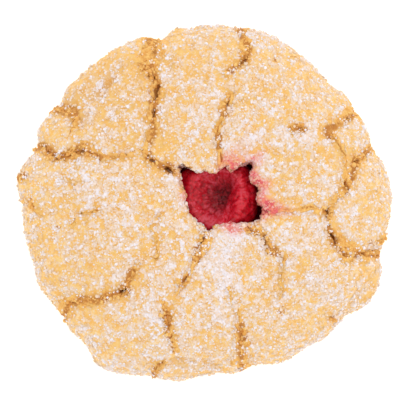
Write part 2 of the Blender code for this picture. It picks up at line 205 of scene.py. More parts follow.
def dome_height(x, y):
    """Superellipse dome, (z/h)^n + (r/R)^n = 1, above the equator, with a soft dip at the berry."""
    angle = np.arctan2(y, x)
    reach = np.clip(np.hypot(x, y) / rim_radius(angle), 0.0, 1.0)
    dome = EQUATOR + (HEIGHT - EQUATOR) * (1.0 - reach ** DOME_POWER) ** (1.0 / DOME_POWER)
    return dome - CENTRE_DIP * bell(np.hypot(x - BERRY_AT[0], y - BERRY_AT[1]), DIP_SPREAD)


berry_low, berry_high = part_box("raspberry")
berry_middle = (berry_low + berry_high) / 2.0 / MM
SHIFT = np.array([berry_middle.x - BERRY_AT[0], berry_middle.y - BERRY_AT[1], 0.0])
print("the cookie's middle lies", np.round(SHIFT, 2), "mm from the frame's origin")

# %% [markdown]
# ## Cracks, ledges and puffed plates
# The crust set before the middle stopped rising, so it tore. Each crack is a short run of bends
# with a width at each, and the ragged edge comes from noise rather than from more points. Valleys are
# soft hollows between plates that didn't tear. Ledges are the steps where a plate slid over the side's
# crust, and a few plates puffed above the rest.

# %% Where the crust tore: bends (x, y, width), mm
CRACKS = {
    "north_west": [(-9.3, 38, 4.2), (-10.7, 34, 4.6), (-11.5, 30, 4.2), (-10.3, 26.8, 2.6),
        (-9.6, 22.5, 2.3), (-11.3, 18.5, 2.4), (-10.2, 15, 1.9), (-12, 12.2, 1.1), (-11.4, 9.7, 1.6),
        (-8.4, 8.3, 1.9), (-4.5, 6.6, 2)],
    "north": [(7.6, 38, 1.5), (8.7, 35.9, 2), (9.3, 33.1, 2.6), (7.9, 30.2, 2.4), (5.6, 27.8, 1.4),
        (5.6, 25, 0.4), (6.5, 23.1, 1), (4.8, 19.7, 1.6), (3.1, 16.5, 0.9), (2.8, 14, 1.9),
        (3.8, 10.9, 1.1), (3.8, 8.4, 0.9)],
    "west": [(-39, 11.2, 2), (-35.1, 12.3, 1.8), (-32.2, 11.4, 1.9), (-30.8, 9.8, 1.2),
        (-28.3, 10.6, 1.6), (-25.1, 11.9, 2.4), (-22.3, 10.3, 2), (-20.5, 9, 1), (-17.7, 10.1, 1.3),
        (-14, 10.9, 0.6), (-12, 12.1, 1)],
    "west_flake": [(-33, 20.5, 1.4), (-30, 20.6, 1.9), (-27.2, 19.9, 2.4), (-26.6, 17.3, 1.1),
        (-28.5, 14.6, 0.5)],
    "south_west": [(-30, -24, 3), (-29.5, -21.8, 2.8), (-26.6, -20.4, 3.1), (-22, -19.8, 2.3),
        (-17.2, -18.4, 2.1), (-15.7, -16.4, 1.4), (-14, -13.6, 1.5), (-12.6, -11.8, 0.5),
        (-9.5, -11.3, 0.8), (-9.6, -7.9, 0.9), (-10.6, -4.5, 0.9), (-8.4, -1.9, 0.7)],
    "south": [(1.6, -4.2, 3.2), (-0.1, -7.9, 2.6), (-0.7, -11, 1.8), (-2.4, -13.6, 0.9),
        (-4.4, -16.6, 1.8), (-6.1, -19.6, 0.5)],
    "south_furrow": [(-8.4, -21, 1), (-7.8, -23, 1.9), (-7, -26, 2), (-6, -29.4, 2.3), (-5.8, -31.6, 1)],
    "south_foot": [(-8, -32.8, 0.7), (-9.6, -34, 1.2), (-10.8, -37.5, 1.8)],
    "south_east": [(9.8, -4, 2.8), (13.3, -8.5, 2.2), (16.1, -11.3, 1.2), (16.6, -13.2, 0.8),
        (16.4, -16, 0.9), (16.7, -19.5, 0.7), (16.4, -22.5, 0.2)],
    "south_rim": [(6.8, -21, 0.3), (7.6, -24.4, 1.2), (7.9, -27.2, 2.2), (8.3, -30.7, 3.6),
        (8.6, -34, 3.8), (9.3, -38, 2.8)],
    "east": [(12, -1.6, 1.3), (16.7, -1.1, 0.8), (22.9, -1.3, 1.1), (26.3, -1.5, 1.4), (26.9, -5.1, 1.3),
        (28.9, -7.9, 2.1), (30.9, -10.2, 3.4), (34.3, -10.3, 2.4), (40, -10.2, 0.9)],
    "east_arc": [(26.3, -1.5, 1.2), (28.3, 0.9, 1.2), (30.3, 3.5, 1.4), (31.7, 6.9, 1.9),
        (32.9, 9.2, 1.8), (35.4, 11.5, 2.7), (38.5, 14, 2.8)],
    "north_east": [(30.3, 4.5, 1), (30.6, 8, 0.9), (30.6, 10.5, 0.8), (28.6, 13.6, 1), (26.1, 15.4, 1.6),
        (28.6, 17.7, 1.7), (31.5, 19.7, 3.2), (35.5, 22, 3.8)],
    "north_east_pit": [(19.3, 15.6, 1.5), (21.2, 15.7, 1.5)],
    "north_west_edge": [(-13.2, 31.6, 1), (-12.7, 29.4, 1.6), (-11.5, 27.4, 1)],
    "north_twig": [(11.6, 23.7, 0.5), (6.9, 21.6, 0.8)],
    "west_twig": [(-29.1, 5.9, 0.9), (-26.8, 3.6, 0.8)],
    "west_arc": [(-31, -5, 0.6), (-27.4, -4, 0.9), (-25.3, -1.9, 0.9), (-22.3, -0.8, 0.8)],
    "south_twig": [(5.9, -15.8, 0.5), (5.5, -18.2, 1), (5.8, -21, 0.7)],
    "south_west_pit": [(-17.2, -18.7, 1.9), (-15.9, -17.7, 1.7)],
    "west_rim": [(-38, 1, 0.9), (-35.9, 0.2, 1), (-34, -2.2, 0.7)],
    "west_notch": [(-41, 6.3, 1.6), (-38.1, 6.2, 1.8)],
    "south_east_pit": [(25.4, -24.3, 1), (26.8, -24.5, 1.4)],
    "east_notch": [(39, -6.9, 0.9), (36.6, -8.2, 1.3)],
    "north_east_rim": [(16.1, 31.6, 0.6), (20.9, 31.1, 0.6)],
}
# The slit's depth and width as shares of what the crack's width gives, 1 where none is named
SLIT_DEPTH_SHARE = {
    "north_west": 1.2, "north": 0.8, "west": 0.8, "west_flake": 0.4, "west_rim": 0.5, "west_notch": 0.5,
    "south_west": 0.5, "south_west_pit": 1.6, "south": 0.55, "south_furrow": 0.6, "south_east": 0.45,
    "south_rim": 0.3, "east": 1.3, "north_east": 0.4, "north_east_pit": 0.35,
}
SLIT_WIDTH_SHARE = {"south_furrow": 2.6}

# %% Valleys and ledges: bends (x, y, drop), and plates: middle x and y, reach and lift, mm
VALLEYS = {
    "north_west_valley": [(-17.4, 32, 0), (-19.5, 28.3, 1.2), (-21.5, 24.3, 1.6), (-23.2, 21.5, 1.3),
        (-25.5, 18, 1), (-27.8, 15.6, 0.3)],
}
LEDGES = {
    "south_ledge": [(-9.5, -34, 0), (-6, -32, 1.3), (2, -32.2, 1.3), (6.5, -31.5, 0)],
    "south_east_ledge": [(25, -27, 0), (29, -22.5, 1.2), (34, -16, 1.2), (36.5, -11.5, 0)],
    "north_west_ledge": [(-11.5, 32, 0), (-19, 26, 0.7), (-26, 19.5, 0.8), (-27.5, 16, 0)],
}
PLATE_LIFTS = [
    (20, 6.5, 10, 0.6), (-24, -4, 12, 0.3), (2, -24, 8, 0.3), (-3, 22, 9, 0.3), (18, -22, 9, 0.2),
]
print(len(CRACKS), "cracks,", len(LEDGES), "ledges,", len(PLATE_LIFTS), "puffed plates")


# %% Nearest point of a run
def nearest_on_run(x, y, run):
    """Distance to the nearest stretch of a run, the third value blended there, and the side."""
    best = np.full_like(x, 1e9)
    value = np.zeros_like(x)
    side = np.ones_like(x)
    for (ax, ay, av), (bx, by, bv) in zip(run[:-1], run[1:]):
        dx, dy = bx - ax, by - ay
        along = np.clip(((x - ax) * dx + (y - ay) * dy) / (dx * dx + dy * dy), 0.0, 1.0)
        off_x, off_y = x - ax - along * dx, y - ay - along * dy
        distance = np.hypot(off_x, off_y)
        closer = distance < best
        best = np.where(closer, distance, best)
        value = np.where(closer, av + along * (bv - av), value)
        side = np.where(closer, np.sign(dx * off_y - dy * off_x), side)
    return best, value, side


# %% How deep the crust lies
STRIP_HALF = 0.44
STRIP_DEPTH = 0.6
SLIT_DEPTH = 2.6
PLATE_EDGE_DROP = 0.55
PLATE_EDGE_REACH = 2.2
VALLEY_REACH = 1.7
# Stand for the distance and the half width where no thin crack is near
NO_SLIT_OFF = 3.0
NO_SLIT_SIZE = 0.01


def wander(points, seed):
    """How far a crack's middle line strays, mm: noise in two sizes."""
    return 0.45 * rough(points, 3.6, seed) + 0.42 * rough(points, 1.5, seed + 1)


def ragged(points, seed):
    """One side of a crack as a share of its plain half width: 1.1 plus noise in two sizes."""
    return 1.10 + 0.95 * rough(points, 2.0, seed) + 0.80 * rough(points, 0.9, seed + 1)


def torn_crust(points):
    """Depth below the dome, how bare the crumb is from 0 to 1, and, for cracks too thin for the grid,
    the distance to the middle line, with a sign for the side, and the half width. A crack is a ragged
    strip of bare crumb whose two edges wander on their own. It lies a little low, and a narrow slit
    winds from side to side in it and pinches shut here and there. The plates round off over the last
    2 mm before it."""
    flat = points * [1.0, 1.0, 0.35]
    x, y = points[..., 0] + wander(flat, 31), points[..., 1] + wander(flat, 33)
    left_edge, right_edge = ragged(flat, 35), ragged(flat, 37)
    winding = 0.9 * rough(flat, 2.6, 39)
    pinch = smoothstep(-0.25, 0.45, rough(flat, 1.9, 40)) * 1.2
    fading = 0.8 + 0.7 * rough(flat, 2.0, 44)
    sunk, bare = np.zeros_like(x), np.zeros_like(x)
    slit_off, slit_size = np.full_like(x, NO_SLIT_OFF), np.full_like(x, NO_SLIT_SIZE)
    for name, run in CRACKS.items():
        distance, width, side = nearest_on_run(x, y, run)
        gate = smoothstep(0.25, 0.75, width * fading)
        wide = gate * smoothstep(0.4, 0.8, width)
        half = np.clip(STRIP_HALF * width * np.where(side > 0, left_edge, right_edge), 0.06, None)
        strip = 1.0 - smoothstep(0.65, 1.10, distance / half)
        slit_half = (0.10 + 0.13 * width) * SLIT_WIDTH_SHARE.get(name, 1.0)
        off = distance * side - winding * 0.45 * width
        slit = 1.0 - smoothstep(0.2, 1.1, np.abs(off) / slit_half)
        slit = slit * pinch * smoothstep(0.5, 1.1, width) * SLIT_DEPTH_SHARE.get(name, 1.0)
        open_here = 1.0 - np.exp(-width / 1.2)
        deep = strip * (STRIP_DEPTH + SLIT_DEPTH * slit) * open_here * wide
        rounded = PLATE_EDGE_DROP * open_here * bell(distance, PLATE_EDGE_REACH)
        sunk = np.maximum(sunk, np.maximum(deep, rounded))
        bare = np.maximum(bare, (1.0 - smoothstep(0.75, 1.25, distance / (half + 0.05))) * wide)
        thin = 1.0 - smoothstep(0.7, 1.3, width)
        size = (0.10 + 0.10 * width) * np.clip(0.3 + pinch, 0.0, 1.0) * gate * thin
        nearer = np.abs(off) < np.abs(slit_off)
        slit_off, slit_size = np.where(nearer, off, slit_off), np.where(nearer, size, slit_size)
    for run in VALLEYS.values():
        distance, low, _ = nearest_on_run(x, y, run)
        sunk = np.maximum(sunk, low * bell(distance, VALLEY_REACH))
    return sunk, bare, slit_off, slit_size


def ledge_drop(x, y):
    """Each ledge lowers the crust on its rim side, full just outside the run, gone 6 mm on. Gives the
    drop, and how much the crust there is the plain crust of the side."""
    total, plain = np.zeros_like(x), np.zeros_like(x)
    for run in LEDGES.values():
        distance, drop, side = nearest_on_run(x, y, run)
        outward = np.hypot(x, y) - np.hypot(*np.mean([p[:2] for p in run], axis=0))
        beyond = np.where(outward > -3.0, 1.0, 0.0) * np.where(side < 0, 1.0, 0.0)
        total += drop * beyond * smoothstep(0.0, 1.2, distance) * (1.0 - smoothstep(2.0, 6.0, distance))
        plain = np.maximum(plain, beyond * smoothstep(0.0, 0.8, drop) * smoothstep(0.0, 0.7, distance)
                           * (1.0 - smoothstep(4.0, 8.0, distance)))
    return total, plain


def plate_lift(x, y):
    """Sum of broad bell-shaped swellings, one in the middle of each plate that puffed up."""
    total = np.zeros_like(x)
    for mx, my, reach, lift in PLATE_LIFTS:
        total += lift * bell(np.hypot(x - mx, y - my), reach)
    return total


# %% [markdown]
# ## The crust as one closed skin
# The skin is a grid wrapped round the cookie: a column for each direction from the middle, and rows
# that run up the berry's pocket, over its lip, out across the dome, down the side and back in under
# the flat base. One closed skin needs no joins, and its rows can crowd where the detail is.

# %% The berry's pocket
BERRY_RADIUS = 8.1
BERRY_FOOT = 4.4
BERRY_TOP = 17.5
BERRY_MIDDLE = 0.5 * (BERRY_FOOT + BERRY_TOP)
BERRY_HALF = 0.5 * (BERRY_TOP - BERRY_FOOT)
BERRY_POWER = 2.7
DRUPELET_HEIGHT = 0.65
POCKET_GAP = 0.62


def berry_profile(turn, radius, half):
    """Radius and height at a turn from the tip, -90 degrees, to the top, 90 degrees, of the
    superellipse |r/R|^n + |z/h|^n = 1 about the berry's middle height."""
    cos, sin = np.cos(turn), np.sin(turn)
    across = radius * np.abs(cos) ** (2.0 / BERRY_POWER)
    return across, BERRY_MIDDLE + half * np.sign(sin) * np.abs(sin) ** (2.0 / BERRY_POWER)


def pocket_profile(share, reach):
    """The berry's superellipse, a gap larger: floor's middle at share 0, under the lip at 1."""
    full = np.maximum(BERRY_RADIUS + DRUPELET_HEIGHT + POCKET_GAP, reach * 1.04)
    last = np.arccos(np.clip(reach / full, 0.0, 0.985) ** (BERRY_POWER / 2.0))
    turn = -0.5 * np.pi + share * (0.5 * np.pi + last)
    return berry_profile(turn, full, BERRY_HALF + DRUPELET_HEIGHT + POCKET_GAP)


# %% The crust's smooth form
COLUMNS = 640


def crust_form():
    """The skin before it cracked, as five named runs of rows, each (rows, columns, 3)."""
    angle = np.linspace(0.0, 2.0 * np.pi, COLUMNS, endpoint=False)[None, :]
    cos, sin = np.cos(angle), np.sin(angle)
    ring = points_at(cos[0], sin[0], 0.0)
    ragged_edge = 0.28 * rough(ring * 9.0, 1.3, 41) + 0.16 * rough(ring * 9.0, 0.5, 42)
    reach = opening_radius(angle) + ragged_edge[None, :]
    rim = rim_radius(angle) + 0.22 * rough(ring * 38.0, 2.6, 43)[None, :]
    edge_x, edge_y = BERRY_AT[0] + reach * cos, BERRY_AT[1] + reach * sin
    lip_top = dome_height(edge_x, edge_y)

    share = np.linspace(0.0, 1.0, 13)[1:, None]
    radius, height = pocket_profile(share, reach)
    pocket = points_at(BERRY_AT[0] + radius * cos, BERRY_AT[1] + radius * sin, height)

    share = np.linspace(0.0, 1.0, 9)[1:, None]
    last_radius, last_height = pocket_profile(np.ones_like(angle), reach)
    radius = last_radius + (reach - last_radius) * share - 0.36 * np.sin(share * np.pi)
    height = last_height + (lip_top - last_height) * smoothstep(0.0, 1.0, share)
    lip = points_at(BERRY_AT[0] + radius * cos, BERRY_AT[1] + radius * sin, height)

    share = np.linspace(0.0, 1.0, 110)[1:, None]
    out = 0.45 * share + 0.55 * np.sin(share * 0.5 * np.pi)
    x, y = edge_x + (rim * cos - edge_x) * out, edge_y + (rim * sin - edge_y) * out
    top = points_at(x, y, dome_height(x, y))

    turn = np.linspace(0.0, 1.0, 17)[1:, None] * 0.5 * np.pi
    radius = rim - FOOT_INSET * (1.0 - np.abs(np.cos(turn)) ** (2.0 / FOOT_POWER))
    height = EQUATOR * (1.0 - np.abs(np.sin(turn)) ** (2.0 / FOOT_POWER))
    side = points_at(radius * cos, radius * sin, height)

    radius = (rim - FOOT_INSET) * (1.0 - np.linspace(0.0, 1.0, 9)[1:-1, None])
    base = points_at(radius * cos, radius * sin, 0.0)
    return [("pocket", pocket), ("lip", lip), ("top", top), ("side", side), ("base", base)]


def grid_normals(grid):
    """Unit normals of a wrapped grid: the cross product of its column and row directions."""
    along = np.roll(grid, -1, axis=1) - np.roll(grid, 1, axis=1)
    down = np.gradient(grid, axis=0)
    normal = np.cross(down, along)
    return normal / np.maximum(np.linalg.norm(normal, axis=2, keepdims=True), 1e-9)


form = crust_form()
crust = np.concatenate([rows for _, rows in form])
zone = np.concatenate([[name] * len(rows) for name, rows in form])
normals = grid_normals(crust)
print("crust grid", crust.shape, "top normal points up:", normals[zone == "top"][:, :, 2].mean() > 0)

# %% [markdown]
# ## Cracking and roughening it
# Every point of the skin moves along its own normal. Broad waves and puffed plates lift it, cracks
# and ledges sink it, and finer lumps and noise give the crumb, coarser where it is torn. The base and
# the pocket stay smooth, since one lay on the tray and the berry hides the other.

# %% Relief of the crust, mm
def rows_like(values):
    """A value for each row, spread along the columns."""
    return np.repeat(values[:, None], COLUMNS, axis=1)


height_above_tray = crust[..., 2]
shown = rows_like((zone == "top").astype(float) + (zone == "lip"))
shown = np.where(rows_like(zone == "side"), smoothstep(0.3, 4.0, height_above_tray), shown)
tear_depth, bare, slit_off, slit_size = torn_crust(crust)
wavy = crust + 0.5 * np.stack([rough(crust, 2.5, seed) for seed in (45, 46, 47)], axis=-1)
cobbles = lumpy(wavy, 3.4, 51)
nubs = lumpy(wavy, 1.4, 55)
crumb = 0.34 * cobbles + 0.20 * nubs + 0.08 * rough(crust, 0.8, 52)
grit = lumpy(crust, 1.2, 58)
lumps = (0.62 * grit + 0.24 * lumpy(wavy, 0.75, 48)) * bare * smoothstep(3.0, 9.0, height_above_tray)
settled = 0.25 + 0.32 * smoothstep(8.0, 17.0, height_above_tray)
uneven = 0.40 * rough(crust, 9.0, 59) + plate_lift(crust[..., 0], crust[..., 1]) - settled
drop, plain_side = ledge_drop(crust[..., 0], crust[..., 1])
sunk = tear_depth + drop
crust = crust + normals * (shown * (uneven + crumb + lumps - sunk))[..., None]
crust[..., 2] = np.maximum(crust[..., 2], 0.0)
normals = grid_normals(crust)
print(f"cracks reach {tear_depth.max():.1f} mm deep, crust top at {crust[..., 2].max():.1f} mm")


# %% [markdown]
# ## Putting grids into meshes
# A wrapped grid closes with one point at each end. Numbers that the finishes need, such as how bare
# the crumb is, go along as attributes of the points, so they stay with the surface.

# %% From grid to mesh
def new_piece(name, points, faces, **values):
    """Makes a smooth-shaded mesh object from points in mm in the cookie's own frame, with the values
    as point attributes."""
    mesh = bpy.data.meshes.new(name)
    mesh.from_pydata(((points + SHIFT) * MM).tolist(), [], faces)
    mesh.polygons.foreach_set("use_smooth", np.full(len(mesh.polygons), True))
    for key, numbers in values.items():
        mesh.attributes.new(key, "FLOAT", "POINT").data.foreach_set("value", np.ravel(numbers))
    piece = bpy.data.objects.new(name, mesh)
    bpy.context.scene.collection.objects.link(piece)
    return piece


def closed_grid(grid, first, last):
    """Points and faces of a grid wrapped round, closed by the points first and last."""
    rows, columns = grid.shape[:2]
    points = np.concatenate([[first], grid.reshape(-1, 3), [last]])
    number = 1 + np.arange(rows * columns).reshape(rows, columns)
    beside = np.roll(number, -1, axis=1)
    quads = np.stack([number[:-1], number[1:], beside[1:], beside[:-1]], axis=2).reshape(-1, 4)
    opening_fan = np.stack([np.zeros(columns, int), number[0], beside[0]], axis=1)
    closing_fan = np.stack([np.full(columns, len(points) - 1), beside[-1], number[-1]], axis=1)
    return points, quads.tolist() + opening_fan.tolist() + closing_fan.tolist()


def with_ends(values, first=0.0, last=0.0):
    """A grid's values as a flat list with one more for the point at each end."""
    return np.concatenate([[first], np.ravel(values), [last]])


def lean_normals(piece, facets, outward, share):
    """Turns the shading of a grain's facets towards the crust's own normal by a share, as light
    passing through the grain does: normal = (1 - share) facet + share outward, made unit long."""
    mixed = mix(facets, outward[:, None, :], share)
    mixed /= np.linalg.norm(mixed, axis=2, keepdims=True)
    corners = np.repeat(mixed.reshape(-1, 3), 4, axis=0)
    piece.data.normals_split_custom_set(corners.tolist())


def count_triangles(piece):
    """Number of triangles in a piece's mesh."""
    return sum(len(face.vertices) - 2 for face in piece.data.polygons)


# %% [markdown]
# ## Where the juice ran and the sugar drifted
# The berry's juice dyed the crust pink round the opening, mostly above it on the right and down its
# right side, so its strength and reach are bell curves round the circle. Sugar lies thick below the
# opening and in the hollow between the right-hand plates, thin on the steep side, and hardly at all
# on torn crumb, so it is a sum of soft oval spots. The upper left and the top are a little browner,
# and the valley on the upper left is browned as painted shade.
# Noise breaks everything up, so that no edge is smooth.

# %% Where juice, sugar and browning lie
# Juice: where (degrees), how wide (degrees), and strength or reach (mm)
JUICE_STRENGTH = [(66, 24, 1.1), (25, 20, 1.2), (350, 14, 1.7), (300, 18, 1.3), (170, 25, 0.8)]
JUICE_SPREAD = [(66, 20, 3.8), (25, 20, 0.8), (352, 8, 3.4), (300, 15, 1), (165, 20, 0.6)]
JUICE_LEAST = 0.8
# Sugar and browning: middle x and y, reach in x and y, mm, and strength
SUGAR_DRIFTS = [
    (2.5, -9.5, 4.2, 4.2, 1.05), (4, -15, 4.5, 4, 1), (5.5, -6.6, 2.4, 1.6, 0.8),
    (10.5, -5.5, 3.5, 1.8, 0.7), (16.5, 14.5, 6, 2.2, 0.8), (13, 9.5, 3, 2, 0.6), (-7.5, 4, 3, 2.6, 0.6),
    (-24, 3.5, 9, 4, 0.3), (20, -8, 8, 4, 0.3), (-1.5, 19, 3, 5, 0.3), (-9, -22, 8, 6, 0.25),
    (30, -17, 5, 6, 0.4), (1, -26, 9, 6, 0.55), (-19, 31, 8, 5, -0.5), (-30, 17, 5, 5, -0.3),
    (-3, -35.5, 10, 3.5, 0.3), (-34, -8, 4, 9, -0.1), (-12, 26, 3, 8, -0.2), (31, -7.5, 5, 3, 0.4),
    (9, 21, 6, 5, -0.3), (-3, 31, 6, 4, -0.25), (-18.5, 21, 7, 7, -0.3), (16, 22, 6, 6, -0.15),
    (24, -19.5, 7, 6, 0.25),
]
# Spots where the crust is coloured a little browner
BAKED_MORE = [(-21, 22, 12, 10, 0.28), (4, 30, 12, 7, 0.1)]


def spots(points, table):
    """Sum of soft oval spots, each (x, y, reach in x, reach in y, strength)."""
    total = np.zeros(points.shape[:-1])
    for mx, my, rx, ry, strength in table:
        total += strength * bell(points[..., 0] - mx, rx) * bell(points[..., 1] - my, ry)
    return total


def past_opening(points):
    """The direction of each point from the berry's middle, and how far it lies past the opening."""
    off_x, off_y = points[..., 0] - BERRY_AT[0], points[..., 1] - BERRY_AT[1]
    angle = np.arctan2(off_y, off_x)
    return angle, np.hypot(off_x, off_y) - opening_radius(angle)


def juice_on(points):
    """Juice on the crust: full at the opening's edge, and falling with the square of the distance
    beyond it, over a spread and with a strength that change round the circle."""
    angle, beyond = past_opening(points)
    spread = (JUICE_LEAST + lobes(angle, JUICE_SPREAD)) * (1.0 + 0.3 * rough(points, 2.5, 60))
    return lobes(angle, JUICE_STRENGTH) * bell(np.maximum(beyond, 0.0), spread)


# %% Juice, sugar cover and browning on the crust
COVER_LEAST = 0.14
COVER_FOR_FROST = 1.1
COVER_ON_SIDE = 0.12
BARE_LOSS = 0.9
CALM_FROM, CALM_TO = 22.0, 35.0
LIP_SUGAR = 1.2

x, y, z = np.moveaxis(crust, -1, 0)
upward = normals[..., 2]
juice = np.clip(juice_on(crust) * (0.9 + 0.5 * rough(crust, 1.0, 61)), 0.0, 1.6) * shown
soaked = rows_like(zone == "pocket") + rows_like(zone == "lip") * smoothstep(18.5, 16.5, z)
high = smoothstep(0.35, 0.95, 0.55 * cobbles + 0.45 * nubs)
frost = 0.51 + 0.28 * layered(crust, 7.0, 62, 2) + 0.34 * rough(crust, 2.2, 64) + 0.80 * rough(crust, 0.8, 63)
in_valley, valley_low, _ = nearest_on_run(x, y, VALLEYS["north_west_valley"])
drifted = spots(crust, SUGAR_DRIFTS) + 0.6 * valley_low * bell(in_valley, 1.5)
frost = np.clip(frost + 0.7 * drifted + 0.5 * (high - 0.6), 0.0, 1.4) * shown
cover = (COVER_LEAST + COVER_FOR_FROST * frost ** 1.8) * smoothstep(-0.25, 0.55, upward)
cover = cover + COVER_ON_SIDE * smoothstep(-0.5, 0.0, upward)
calm = smoothstep(CALM_FROM, CALM_TO, np.hypot(x, y))
cover = cover * (1.0 - BARE_LOSS * bare) * (1.0 - 0.4 * calm) * (1.0 - 0.35 * plain_side) * shown
drawn = 1.0 - smoothstep(1.2, 3.0, np.abs(slit_off) / (slit_size + 0.05))
cover = cover * (1.0 - BARE_LOSS * drawn * smoothstep(0.03, 0.10, slit_size))
cover = cover + LIP_SUGAR * bell(past_opening(crust)[1], 0.6) * smoothstep(17.5, 18.5, z)
# Painted shade: this mask browns the bottom of a deep crack.
pit = smoothstep(1.3, 2.8, tear_depth) * shown
# Browner on the side's plain crust past the ledges and in the listed spots; the valley on the upper left is
# browned as painted shade.
browned = 0.30 * plain_side + 0.35 * smoothstep(0.2, 1.4, valley_low) * bell(in_valley, 1.0)
browned = browned + spots(crust, BAKED_MORE)
toast = np.maximum(1.0 - smoothstep(0.3, 3.2, z), browned * (0.8 + 0.5 * rough(crust, 1.5, 65)))
# Painted shade: this mask darkens the creases between lumps of torn crumb.
crease = smoothstep(0.60, 0.15, grit) * bare
slit_near = (1.0 - smoothstep(0.6, 1.1, np.abs(slit_off))) * shown
print(f"juice on {(juice > 0.3).mean():.1%} of the grid, mean sugar cover {cover.mean():.2f}")

# %% The crust piece
floor_of_pocket = [*BERRY_AT, crust[zone == "pocket"][0][:, 2].min()]
points, faces = closed_grid(crust, floor_of_pocket, [0.0, 0.0, 0.0])
crust_piece = new_piece(
    "baked_crust", points, faces, bare=with_ends(bare * shown), pit=with_ends(pit),
    juice=with_ends(juice), soaked=with_ends(soaked, 1.0), frost=with_ends(frost), calm=with_ends(calm),
    crease=with_ends(crease), slit_off=with_ends(slit_off), slit_size=with_ends(slit_size),
    slit_near=with_ends(slit_near), toast=with_ends(toast, 0.0, 1.0),
)
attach(crust_piece, "root")
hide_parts("cookie")
print("baked_crust:", count_triangles(crust_piece), "triangles")

# %% [markdown]
# ## The raspberry
# A raspberry that is pulled off its core is a thimble of drupelets. Hollow end up, it shows a ring
# of plump drupelets round a dark hole. Its skin is another wrapped grid: hollow, crown and body,
# with a round bump over each drupelet's middle and fine wrinkles on top.

# %% The berry's smooth form, mm from the berry's middle
BERRY_COLUMNS = 420
HOLLOW_AT = (2.4, 0.6)
HOLLOW_FLOOR = 12.0
HOLLOW_REACH = 5.2
HOLLOW_SIDES = [(180, 55, 2.6), (355, 50, -3)]
HOLLOW_RIM = 16.2
BERRY_LIP = 6.9
FOLD_PUFF = 0.08
FOLD_AT = (5.6, -1.2)
FOLD_REACH = (1.9, 2.5)
FOLD_RISE = 1.2
BERRY_SWELLS = [(46, 13, 1.05), (12, 20, 0.5), (143, 12, 0.9), (335, 12, 0.5)]
DRUPELET_PITCH = 2.4
BERRY_ROWS = {"hollow": 60, "crown": 50, "body": 90}


def berry_point(zone, share, angle):
    """A point of the thimble's smooth skin. The hollow is a funnel, deepest at HOLLOW_AT, whose reach
    is short on the right, where the berry folds into a fat lobe. The crown puffs up between its rim
    and the shoulder by its own width, and the body is a superellipse down to the tip. The whole
    swells a little into the opening's corners."""
    swell = lobes(angle, BERRY_SWELLS)
    radius_here = BERRY_RADIUS + swell
    lip_radius = BERRY_LIP + 1.5 * swell
    cos, sin = np.cos(angle), np.sin(angle)
    reach = HOLLOW_REACH + lobes(angle, HOLLOW_SIDES)
    rim_x, rim_y = HOLLOW_AT[0] + reach * cos, HOLLOW_AT[1] + reach * sin
    first = np.arccos((lip_radius / radius_here) ** (BERRY_POWER / 2.0))
    lip_height = BERRY_MIDDLE + BERRY_HALF * np.sin(first) ** (2.0 / BERRY_POWER)
    if zone == "hollow":
        x, y = mix(HOLLOW_AT[0], rim_x, share), mix(HOLLOW_AT[1], rim_y, share)
        return points_at(x, y, mix(HOLLOW_FLOOR, HOLLOW_RIM, share ** 1.25))
    if zone == "crown":
        x, y = mix(rim_x, lip_radius * cos, share), mix(rim_y, lip_radius * sin, share)
        puff = FOLD_PUFF * ((lip_radius * cos - rim_x) ** 2 + (lip_radius * sin - rim_y) ** 2)
        return points_at(x, y, mix(HOLLOW_RIM, lip_height, share) + puff * np.sin(np.pi * share))
    fall = first - share * (first + 0.5 * np.pi)
    radius, height = berry_profile(fall, radius_here, BERRY_HALF)
    return points_at(radius * cos, radius * sin, height)


def drupelet_centres():
    """Middles of the drupelets on the body: rings one pitch apart, each turned half a pitch on from
    the last, with a small seeded scatter."""
    draw = np.random.default_rng(7)
    centres = []
    for number, share in enumerate(np.arange(0.04, 0.98, 0.105)):
        loop = berry_point("body", share, np.linspace(0, 2 * np.pi, 721))
        walked = np.concatenate([[0.0], np.cumsum(np.linalg.norm(np.diff(loop, axis=0), axis=1))])
        count = max(1, int(round(walked[-1] / DRUPELET_PITCH)))
        at = (np.arange(count) + 0.5 * (number % 2) + draw.uniform(-0.12, 0.12, count)) / count
        stops = at % 1.0 * walked[-1]
        centres.append(np.stack([np.interp(stops, walked, loop[:, k]) for k in range(3)], axis=1))
    return np.concatenate(centres)


# %% Rows of the berry and its drupelets
angle = np.linspace(0.0, 2.0 * np.pi, BERRY_COLUMNS, endpoint=False)[None, :]
berry_rows = []
inner_rows = []
for name, count in BERRY_ROWS.items():
    last = 1.0 if name != "body" else 0.99
    share = np.linspace(0.0, last, count + 1)[1:, None]
    berry_rows.append(berry_point(name, share, angle))
    within = {"hollow": 1.0, "crown": 1.0 - smoothstep(0.6, 1.0, share), "body": 0.0}[name]
    inner_rows.append(within + 0.0 * share)
berry = np.concatenate(berry_rows)
inner = np.repeat(np.concatenate(inner_rows), BERRY_COLUMNS, axis=1)
berry_normals = grid_normals(berry)
centres = drupelet_centres()
plump = np.zeros(berry.shape[:2])
for centre in centres:
    off = (berry - centre) * [1.0, 1.0, 0.75]
    plump = np.maximum(plump, 1.0 - (np.linalg.norm(off, axis=2) / (0.62 * DRUPELET_PITCH)) ** 2)
print("berry grid", berry.shape, "with", len(centres), "drupelets")

# %% Inside of the hollow, the folded lobe and wrinkles
# Cosine and sine of how far the hollow is turned
HOLLOW_TURN = (0.929, 0.371)
CELL_SIZE = 1.6
CELL_HEIGHT = 0.55
RIPPLE_PITCH = 0.95
STREAK_HEIGHT = 0.10
RIPPLE_HEIGHT = 0.08

off = berry[..., :2] - HOLLOW_AT
out = np.linalg.norm(off, axis=2)
heading = off / (out + 0.3)[..., None]


def fanned(round_by, out_by):
    """Places for noise that runs outward: the heading and the distance out, each times a number."""
    return np.concatenate([heading * round_by, (out_by * out)[..., None]], axis=2)


